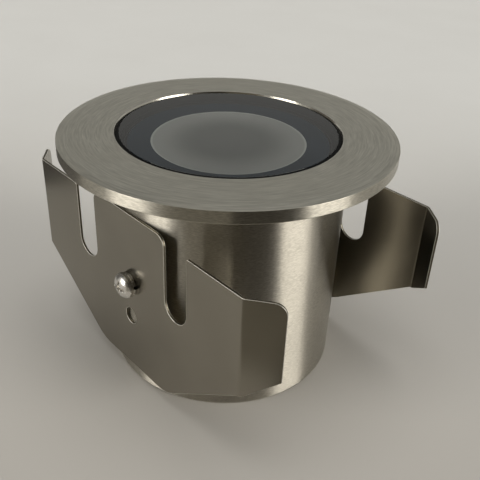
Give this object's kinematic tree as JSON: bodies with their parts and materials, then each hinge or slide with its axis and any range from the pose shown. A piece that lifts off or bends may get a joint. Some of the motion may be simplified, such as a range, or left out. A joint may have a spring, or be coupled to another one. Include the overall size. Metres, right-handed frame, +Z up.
{
  "type": "in-ground well light",
  "caption": "Round recessed ground light: flanged steel can under thick flush glass, LED engine and driver inside, cable gland below, two folded spring brackets on its sides.",
  "frame": {"origin": "centre of the rim that the can stands on", "axes": "+Z up along the can's axis, -Y towards the front bracket, +X along the brackets' width"},
  "size_m": [0.1144, 0.1, 0.0755],
  "materials": {
    "can_steel": "turned stainless steel with a fine horizontal grain",
    "bezel_steel": "stainless steel, brushed round the ring",
    "spring_steel": "smooth rolled spring steel with bright cut edges",
    "screw_steel": "polished stainless steel",
    "inner_steel": "plain steel",
    "gland_metal": "nickel-plated brass",
    "brass_pillar": "plain brass",
    "sink_aluminium": "turned aluminium",
    "clear_glass": "clear toughened glass",
    "frosted_disc": "frosted on both faces",
    "black_mask": "satin black",
    "white_reflector": "matt white",
    "white_board": "white solder mask on aluminium",
    "led_yellow": "clear resin over phosphor",
    "grey_pad": "matt silicone",
    "black_rubber": "matt silicone rubber",
    "black_plastic": "moulded, matt",
    "white_plastic": "moulded, matt",
    "green_plastic": "moulded, matt",
    "green_board": "green solder mask",
    "ferrite": "dark grey ferrite with yellow tape",
    "capacitor_sleeve": "dark blue sleeve",
    "lead_wire": "red and black insulation"
  },
  "bodies": {
    "housing": {"can": "can_steel", "weld_nuts": "inner_steel", "mask_ring": "black_mask", "diffuser": "frosted_disc", "reflector": "white_reflector", "led_board": "white_board", "leds": "led_yellow", "thermal_pad": "grey_pad", "heat_sink": "sink_aluminium", "board_screws": "inner_steel", "pillars": "brass_pillar", "sink_screws": "inner_steel", "led_leads": "lead_wire", "driver_tray": "black_plastic", "driver_board": "green_board", "driver_screws": "inner_steel", "transformer": "ferrite", "capacitors": "capacitor_sleeve", "control_chips": "black_plastic", "terminal_block": "green_plastic", "gland_body": "gland_metal", "gland_washer": "black_rubber", "gland_lock_nut": "gland_metal", "gland_bush": "black_rubber", "bracket_screws": "screw_steel", "lock_washers": "screw_steel"},
    "bezel_gasket": {"bezel_gasket": "black_rubber"},
    "bezel": {"bezel_ring": "bezel_steel", "glass": "clear_glass", "glass_seal": "black_rubber"},
    "slip_ring": {"gland_slip_ring": "white_plastic"},
    "cap_nut": {"gland_cap_nut": "gland_metal"},
    "front_spring": {"front_bracket": "spring_steel"},
    "rear_spring": {"rear_bracket": "spring_steel"}
  },
  "joints": [
    {"name": "bezel_lift", "type": "slide", "parent": "housing", "child": "bezel_gasket", "axis": [0, 0, 1], "range_m": [0, 0.0071]},
    {"name": "bezel_turn", "type": "hinge", "parent": "bezel_gasket", "child": "bezel", "pos_m": [0, 0, 0.0714], "axis": [0, 0, 1], "range_deg": [0, 2520]},
    {"name": "cap_lift", "type": "slide", "parent": "housing", "child": "slip_ring", "axis": [0, 0, -1], "range_m": [0, 0.0031]},
    {"name": "cap_turn", "type": "hinge", "parent": "slip_ring", "child": "cap_nut", "pos_m": [0, 0, 0.0091], "axis": [0, 0, -1], "range_deg": [0, 720]},
    {"name": "front_swivel", "type": "hinge", "parent": "housing", "child": "front_spring", "pos_m": [0, -0.0366, 0.036], "axis": [0, -1, 0], "range_deg": [-18, 18]},
    {"name": "rear_swivel", "type": "hinge", "parent": "housing", "child": "rear_spring", "pos_m": [0, 0.0366, 0.036], "axis": [0, 1, 0], "range_deg": [-18, 18]}
  ],
  "couplings": [
    {"joint": "bezel_lift", "follows": "bezel_turn", "m_per_rad": 0.00015915},
    {"joint": "cap_lift", "follows": "cap_turn", "m_per_rad": 0.00023873}
  ]
}
